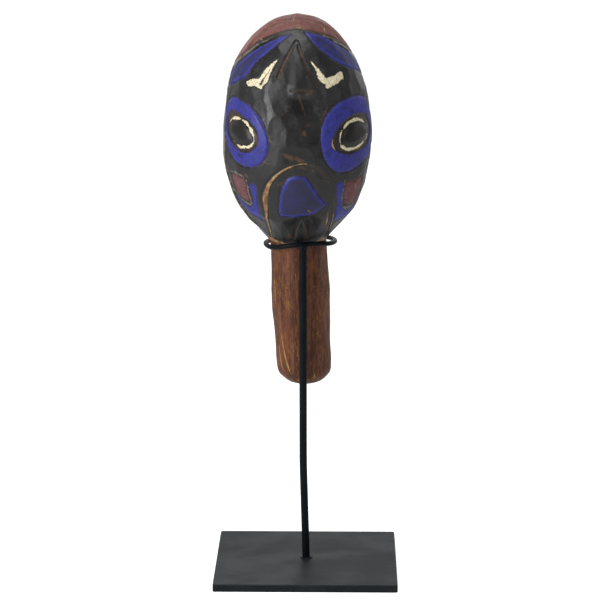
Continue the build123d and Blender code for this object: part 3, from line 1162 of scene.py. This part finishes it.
def handle_facets(places, side, depth):
    """Knife cuts down the handle in staggered rows, and two rings of them round its end."""
    random = np.random.default_rng(5)
    seeds, normals = [], []

    def add_cut(angle, radius, height, tilt):
        seeds.append((radius * math.sin(angle), -radius * math.cos(angle), height))
        normals.append((math.sin(angle), -math.cos(angle), tilt))

    for row in range(HANDLE_CUT_ROWS):
        for turn in range(HANDLE_CUTS_ROUND):
            angle = math.radians(staggered(random, row, turn, HANDLE_CUTS_ROUND))
            height = -6 - row * 12 + random.uniform(-4, 4)
            radius = np.interp(-height, -side[:, 1], side[:, 0])
            add_cut(angle, radius, height, random.uniform(-0.03, 0.03))
    for radius, height, tilt in END_CUTS:
        for turn in range(END_CUTS_ROUND):
            angle = math.radians(turn * 360 / END_CUTS_ROUND + random.uniform(-15, 15))
            add_cut(angle, radius, height, tilt)
    depths = depth * random.uniform(0.3, 1.0, len(seeds))
    return facet_cuts(places, np.array(seeds), unit(np.array(normals)), depths)


def handle_nicks(places, side):
    """Distance from the nearest of the handle's nicks."""
    distances = []
    for points in HANDLE_NICKS:
        line = smooth_line(points)
        radii = np.interp(-line[:, 1], -side[:, 1], side[:, 0])
        distances.append(line_distance(places, turned(radii, line[:, 0], line[:, 1]), line[:, 2]))
    return np.min(distances, axis=0)


def whittle_handle(places, side, depth):
    """Cut the handle's places in mm where they lie, and return the masks that its stain reads."""
    cut, near_ridge = handle_facets(places, side, depth)
    nicks = handle_nicks(places, side)
    streaks = lumps(places * np.array([1, 1, 0.06]), 1.6, 8)
    move = 0.3 + 0.3 * depth - np.minimum(cut, 2 * depth) + 0.10 * streaks + 0.15 * lumps(places, 12, 9)
    move -= 0.35 * ridge(np.maximum(nicks, 0), 0.6)
    outward = places * np.array([1, 1, 0])
    outward[:, 2] = np.where(places[:, 2] < HANDLE_END, (places[:, 2] - HANDLE_END) * 1.2, 0)
    outward /= np.maximum(np.linalg.norm(outward, axis=1), 1e-6)[:, None]
    below_neck = ramp(places[:, 2], 0, -1.5)
    places += outward * (move * below_neck)[:, None]
    places[:, 0] += HANDLE_OFFSET - HANDLE_LEAN * np.minimum(places[:, 2], 0)
    return {"ridge": near_ridge, "nicks": nicks}


class RATTLE_OT_handle(bpy.types.Operator):
    """Whittle the handle and its tenon"""

    bl_idname = "rattle.handle"
    bl_label = "Handle"

    def execute(self, context):
        depth = context.scene.rattle_sizes.facet_depth / MM
        shape = bmesh.new()
        side = smooth_line(HANDLE_OUTLINE, samples=26)
        turn_outline(shape, TENON_OUTLINE + [tuple(point) for point in side], NECK, 168)
        places = (np.array([vert.co for vert in shape.verts]) - np.array(NECK)) / MM
        for name, values in whittle_handle(places, side, depth).items():
            layer = shape.verts.layers.float.new(name)
            for vert, value in zip(shape.verts, values):
                vert[layer] = value
        for vert, place in zip(shape.verts, places):
            vert.co = NECK + Vector(place) * MM
        for edge in shape.edges:
            if max(vert.co.z for vert in edge.verts) > NECK.z - 0.1 * MM:
                edge.smooth = edge.calc_face_angle(0) < math.radians(40)
        soften(shape)
        handle = new_piece(shape, "whittled_handle")
        finish_piece(handle, "rattle", ["streaky_handle"], "handle")
        return {"FINISHED"}


# How far the ring's wire stands above its plane, in shares of the wobble, by degrees.
RING_WOBBLE = [
    (-180, 0.3), (-150, -0.1), (-90, -0.9), (-48, -2.3), (-25, -1.1), (0, 0.15), (37, 0.1),
    (55, -0.4), (90, 0.0), (140, 1.0), (180, 0.3),
]
WIRE_RADIUS = 1.5
WIRE_SIDES = 24
RING_RADIUS = 21.7
RING_STEPS = 180
RING_AXIS = Vector((-0.012, 0.10, 1)).normalized()


class RATTLE_OT_ring(bpy.types.Operator):
    """Bend the wire ring that holds the neck"""

    bl_idname = "rattle.ring"
    bl_label = "Holder Ring"

    def execute(self, context):
        wobble = context.scene.rattle_sizes.ring_wobble / MM
        shape = bmesh.new()
        tilt = UP.rotation_difference(RING_AXIS).to_matrix().to_4x4()
        start = Matrix.Translation((0, -RING_RADIUS * MM, 0)) @ Matrix.Rotation(math.pi / 2, 4, "Y")
        circle = bmesh.ops.create_circle(shape, segments=WIRE_SIDES, radius=WIRE_RADIUS * MM, matrix=start)
        rim = circle["verts"] + shape.edges[:]
        bmesh.ops.spin(
            shape,
            geom=rim,
            cent=(0, 0, 0),
            axis=UP,
            angle=math.tau,
            steps=RING_STEPS,
            use_merge=True,
        )
        bmesh.ops.remove_doubles(shape, verts=shape.verts[:], dist=0.01 * MM)
        table = smooth_line(RING_WOBBLE)
        for vert in shape.verts:
            degrees = math.degrees(math.atan2(vert.co.x, -vert.co.y))
            vert.co.z += wobble * MM * float(np.interp(degrees, table[:, 0], table[:, 1]))
        bmesh.ops.transform(shape, matrix=Matrix.Translation(RING_CENTRE) @ tilt, verts=shape.verts[:])
        soften(shape)
        ring = new_piece(shape, "bent_ring")
        finish_piece(ring, "stand", ["rod_steel"], "holder_ring")
        return {"FINISHED"}


ROD_RADIUS = 2.38
ROD_LEAN = -1.9  # where the rod is in X above its kink, in mm
ROD_KINK_HEIGHT = 68.0
ROD_KINK_SOFTNESS = 5.6
ROD_SIDES = 40
ROD_CUTS = 103


def rod_middle(height):
    """Where the rod's axis is in X at a height, in mm: straight, a soft kink, and upright."""
    slope = ROD_LEAN / ROD_KINK_HEIGHT
    past = height - (ROD_KINK_HEIGHT - ROD_KINK_SOFTNESS)
    if past <= 0:
        return slope * height
    if past >= 2 * ROD_KINK_SOFTNESS:
        return ROD_LEAN
    return slope * (height - past**2 / (4 * ROD_KINK_SOFTNESS))


class RATTLE_OT_rod(bpy.types.Operator):
    """Draw the stand's rod with its kink"""

    bl_idname = "rattle.rod"
    bl_label = "Stand Rod"

    def execute(self, context):
        shape = bmesh.new()
        tall = rod_high.z - rod_low.z
        middle = Matrix.Translation((0, 0, rod_low.z + tall / 2))
        bmesh.ops.create_cone(
            shape,
            segments=ROD_SIDES,
            radius1=ROD_RADIUS * MM,
            radius2=ROD_RADIUS * MM,
            depth=tall,
            cap_ends=True,
            matrix=middle,
        )
        sides = [edge for edge in shape.edges if abs(edge.verts[0].co.z - edge.verts[1].co.z) > 0.5 * tall]
        bmesh.ops.subdivide_edges(shape, edges=sides, cuts=ROD_CUTS)
        for vert in shape.verts:
            vert.co.x += rod_middle(vert.co.z / MM) * MM
        for face in shape.faces:
            face.smooth = len(face.verts) == 4
        bmesh.ops.recalc_face_normals(shape, faces=shape.faces[:])
        rod = new_piece(shape, "kinked_rod")
        finish_piece(rod, "stand", ["rod_steel"], "stand_rod")
        return {"FINISHED"}


class RATTLE_OT_welds(bpy.types.Operator):
    """Lay the two welds of the stand"""

    bl_idname = "rattle.welds"
    bl_label = "Welds"

    def execute(self, context):
        lumpy = context.scene.rattle_sizes.weld_lumps
        for node, flat in (("ring_weld", False), ("foot_weld", True)):
            low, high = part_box(node)
            centre = (low + high) / 2
            size = (high - low) / 2
            if flat:
                centre.z = low.z
                size.z = high.z - low.z
            shape = bmesh.new()
            bmesh.ops.create_icosphere(shape, subdivisions=5, radius=1.0)
            for vert in shape.verts:
                vert.co = centre + Vector(a * b for a, b in zip(vert.co, size))
            places = np.array([vert.co for vert in shape.verts]) / MM
            bumps = lumps(places, 1.3, 21) + 0.4 * lumps(places, 0.5, 22)
            for vert, bump in zip(shape.verts, bumps):
                vert.co += (vert.co - centre).normalized() * lumpy * bump
            if flat:
                bmesh.ops.bisect_plane(
                    shape, geom=everything(shape), plane_co=centre, plane_no=-UP, clear_outer=True
                )
                close_cut(shape)
            soften(shape)
            weld = new_piece(shape, f"lumpy_{node}")
            finish_piece(weld, "stand", ["rod_steel"], node)
        return {"FINISHED"}


class RATTLE_OT_pebbles(bpy.types.Operator):
    """Tumble the loose pebbles inside the head"""

    bl_idname = "rattle.pebbles"
    bl_label = "Pebbles"

    def execute(self, context):
        for number, node in enumerate(PEBBLES):
            low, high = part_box(node)
            centre, size = (low + high) / 2, (high - low) / 2
            shape = bmesh.new()
            bmesh.ops.create_icosphere(shape, subdivisions=4, radius=1.0)
            places = np.array([vert.co for vert in shape.verts])
            bumps = lumps(places, 0.9, 40 + number) * 0.07 - 0.07
            for vert, bump in zip(shape.verts, bumps):
                vert.co = centre + Vector(a * b for a, b in zip(vert.co * (1 + bump), size))
            soften(shape)
            pebble = new_piece(shape, f"worn_{node}")
            finish_piece(pebble, f"{node}_body", ["tumbled_stone"], node)
        return {"FINISHED"}


class RATTLE_OT_cad_finishes(bpy.types.Operator):
    """Give the plate and the pegs, whose CAD shapes stay, their finishes"""

    bl_idname = "rattle.cad_finishes"
    bl_label = "Plate and Pegs"

    def execute(self, context):
        for node, finish in (
            ("base_plate", "plate_steel"),
            ("neck_peg", "raw_wood"),
            ("seam_pegs", "raw_wood"),
        ):
            for material_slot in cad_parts[node].material_slots:
                material_slot.material = bpy.data.materials[finish]
        return {"FINISHED"}


CAMERA_PLACE = (0.0224, -1.3625, 0.4920)
# How far the camera is turned down, to the left and about its own axis, in degrees.
CAMERA_DOWN = 13.17
CAMERA_LEFT = 1.10
CAMERA_ROLL = -0.10
CAMERA_LENS = 135.3
LIGHT_TARGET = (0, 0.02, 0.25)
# The studio lights: name, place, width, height and watts.
LIGHTS = (
    ("key", (-1.1, -1.0, 0.62), 0.6, 0.9, 17),
    ("fill", (1.2, -1.1, 0.9), 0.4, 0.6, 3.5),
    ("top", (-0.1, -0.3, 1.6), 0.9, 0.9, 11),
)
FLOOR_SIZE = 8.0
FLOOR_LIFT = 0.72  # how much the floor glows towards the camera, so that it stays white


def softbox(name, place, width, height, power):
    """A rectangular studio light that points at the object."""
    light = bpy.data.lights.new(name, "AREA")
    light.shape = "RECTANGLE"
    light.size, light.size_y, light.energy = width, height, power
    lamp = bpy.data.objects.new(name, light)
    look = Vector(LIGHT_TARGET) - Vector(place)
    turn = look.to_track_quat("-Z", "Y").to_matrix().to_4x4()
    lamp.matrix_world = Matrix.Translation(place) @ turn
    bpy.context.scene.collection.objects.link(lamp)


def studio_world():
    """White where the camera looks, and for the rest bright behind the object and dim in front."""
    world = bpy.data.worlds.new("studio")
    world.use_nodes = True
    tree = world.node_tree
    background = tree.nodes["Background"]
    direction = add_node(tree, "ShaderNodeTexCoord").outputs["Generated"]
    backward = add_node(tree, "ShaderNodeSeparateXYZ", {0: direction}).outputs["Y"]
    dim = levels(tree, backward, -0.2, 0.7, 0.10, 0.85)
    seen = add_node(tree, "ShaderNodeLightPath").outputs["Is Camera Ray"]
    tree.links.new(maths(tree, "MAXIMUM", dim, seen), background.inputs["Strength"])
    background.inputs["Color"].default_value = (1, 1, 1, 1)
    return world


class RATTLE_OT_stage(bpy.types.Operator):
    """Set the pale floor, the studio light and the camera"""

    bl_idname = "rattle.stage"
    bl_label = "Stage"

    def execute(self, context):
        scene = context.scene
        shape = bmesh.new()
        bmesh.ops.create_grid(shape, x_segments=2, y_segments=2, size=FLOOR_SIZE)
        floor = new_piece(shape, "floor")
        tree, shader, place = new_material("floor_paper")
        paper = mixed(tree, noise(tree, place, 0.4, 3.0), PAPER_DARK, PAPER_PALE)
        tree.links.new(paper, shader.inputs["Base Color"])
        shader.inputs["Roughness"].default_value = 0.9
        shader.inputs["Specular IOR Level"].default_value = 0.1
        shader.inputs["Emission Color"].default_value = (1, 1, 1, 1)
        seen = add_node(tree, "ShaderNodeLightPath").outputs["Is Camera Ray"]
        tree.links.new(times(tree, seen, FLOOR_LIFT), shader.inputs["Emission Strength"])
        floor.data.materials.append(bpy.data.materials["floor_paper"])
        scene.world = studio_world()
        for light in LIGHTS:
            softbox(*light)
        scene.view_settings.view_transform = "Standard"

        camera = bpy.data.objects.new("camera", bpy.data.cameras.new("camera"))
        camera.data.lens = CAMERA_LENS
        turn = Matrix.Rotation(math.radians(CAMERA_LEFT), 4, "Z")
        pitch = Matrix.Rotation(math.radians(90 - CAMERA_DOWN), 4, "X")
        roll = Matrix.Rotation(math.radians(CAMERA_ROLL), 4, "Z")
        camera.matrix_world = Matrix.Translation(CAMERA_PLACE) @ turn @ pitch @ roll
        scene.collection.objects.link(camera)
        scene.camera = camera
        return {"FINISHED"}


class RATTLE_PT_panel(bpy.types.Panel):
    """Lists the rattle's settings and pieces"""

    bl_idname = "RATTLE_PT_panel"
    bl_label = "Painted Hand Rattle"
    bl_space_type = "VIEW_3D"
    bl_region_type = "UI"
    bl_category = "Rattle"

    def draw(self, context):
        for settings in (context.scene.rattle_sizes, context.scene.rattle_colours):
            for name in settings.bl_rna.properties.keys():
                if name not in ("rna_type", "name"):
                    self.layout.prop(settings, name)
        for operator in OPERATORS:
            self.layout.operator(operator.bl_idname)


OPERATORS = (
    RATTLE_OT_finishes,
    RATTLE_OT_head,
    RATTLE_OT_handle,
    RATTLE_OT_ring,
    RATTLE_OT_rod,
    RATTLE_OT_welds,
    RATTLE_OT_pebbles,
    RATTLE_OT_cad_finishes,
    RATTLE_OT_stage,
)
CLASSES = (RattleSizes, RattleColours, *OPERATORS, RATTLE_PT_panel)


def register():
    """Register the classes and hang the settings on the scene."""
    for item in CLASSES:
        bpy.utils.register_class(item)
    bpy.types.Scene.rattle_sizes = bpy.props.PointerProperty(type=RattleSizes)
    bpy.types.Scene.rattle_colours = bpy.props.PointerProperty(type=RattleColours)


def unregister():
    """Take the settings off the scene and unregister the classes."""
    del bpy.types.Scene.rattle_colours
    del bpy.types.Scene.rattle_sizes
    for item in reversed(CLASSES):
        bpy.utils.unregister_class(item)


def main():
    """Build the whole rattle and its stage."""
    register()
    bpy.ops.rattle.finishes()
    bpy.ops.rattle.head()
    bpy.ops.rattle.handle()
    bpy.ops.rattle.ring()
    bpy.ops.rattle.rod()
    bpy.ops.rattle.welds()
    bpy.ops.rattle.pebbles()
    bpy.ops.rattle.cad_finishes()
    bpy.ops.rattle.stage()


if __name__ == "__main__":
    main()
